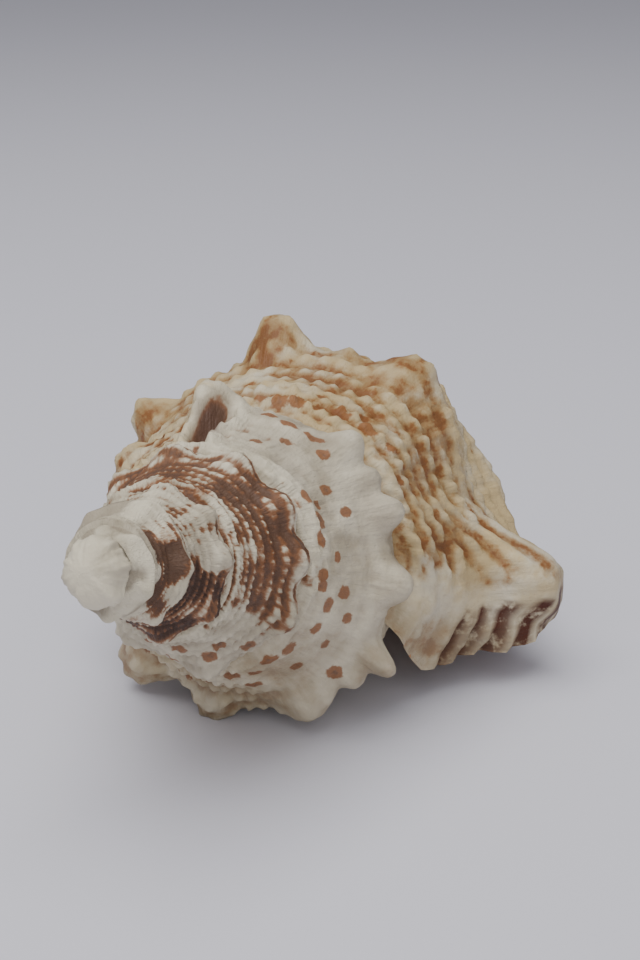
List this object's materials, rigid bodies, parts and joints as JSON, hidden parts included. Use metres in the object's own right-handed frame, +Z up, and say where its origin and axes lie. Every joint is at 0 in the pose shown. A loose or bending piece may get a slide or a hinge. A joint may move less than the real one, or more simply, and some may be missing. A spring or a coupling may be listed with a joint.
{
  "type": "sea snail shell",
  "caption": "Large spired sea snail shell with knobbed whorls, a flat, wide-mouthed underside and a toothed lip, lying on its mouth side.",
  "frame": {"origin": "on the ground, under the middle of the shell's box", "axes": "+X from the apex towards the canal end, along the shell's length; +Y towards the whorls' rounded back side, away from the mouth's lip; +Z up"},
  "size_m": [0.1794, 0.0998, 0.0761],
  "materials": {
    "shell": "dry, worn shell, cream and tan with brown bands and spots"
  },
  "bodies": {
    "root": {"shell": "shell"}
  },
  "joints": []
}
